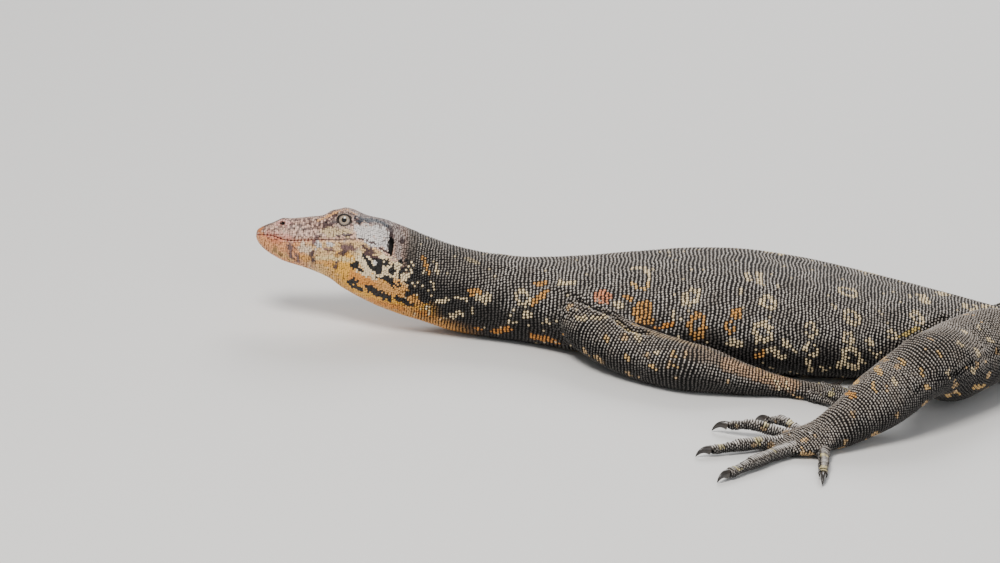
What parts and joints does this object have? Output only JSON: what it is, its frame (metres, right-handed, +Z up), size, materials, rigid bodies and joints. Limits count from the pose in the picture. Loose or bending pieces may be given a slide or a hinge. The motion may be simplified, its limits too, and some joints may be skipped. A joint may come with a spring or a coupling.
{
  "type": "water monitor lizard, still life-size model",
  "caption": "Still life-size model of a water monitor lizard lying on its belly, arms laid back, a hind foot forward, tail in a slow S.",
  "frame": {"origin": "on the floor under the middle of the belly", "axes": "+X towards the tail, -Y the animal's left side, +Z up from the floor"},
  "size_m": [1.2386, 0.4771, 0.0817],
  "materials": {
    "head_skin": "small smooth scales, pinkish tan on the snout, yellow and black on the throat",
    "body_skin": "rows of small raised scales, near black with cream and orange rings",
    "limb_skin": "small raised scales, dark brown with yellow specks",
    "eye": "wet and glossy, pale iris round a black pupil",
    "claw": "dark horn, polished"
  },
  "bodies": {
    "root": {"head": "head_skin", "neck": "body_skin", "torso": "body_skin", "tail_base": "body_skin", "tail_middle": "body_skin", "tail_rear": "body_skin", "tail_tip": "body_skin", "eye_left": "eye", "eye_right": "eye", "upper_arm_left": "limb_skin", "forearm_left": "limb_skin", "hand_left": "limb_skin", "thigh_left": "limb_skin", "shank_left": "limb_skin", "foot_left": "limb_skin", "upper_arm_right": "limb_skin", "forearm_right": "limb_skin", "hand_right": "limb_skin", "thigh_right": "limb_skin", "shank_right": "limb_skin", "foot_right": "limb_skin", "claw_hand_left_1": "claw", "claw_hand_left_2": "claw", "claw_hand_left_3": "claw", "claw_hand_left_4": "claw", "claw_hand_left_5": "claw", "claw_foot_left_1": "claw", "claw_foot_left_2": "claw", "claw_foot_left_3": "claw", "claw_foot_left_4": "claw", "claw_foot_left_5": "claw", "claw_hand_right_1": "claw", "claw_hand_right_2": "claw", "claw_hand_right_3": "claw", "claw_hand_right_4": "claw", "claw_hand_right_5": "claw", "claw_foot_right_1": "claw", "claw_foot_right_2": "claw", "claw_foot_right_3": "claw", "claw_foot_right_4": "claw", "claw_foot_right_5": "claw"}
  },
  "joints": []
}
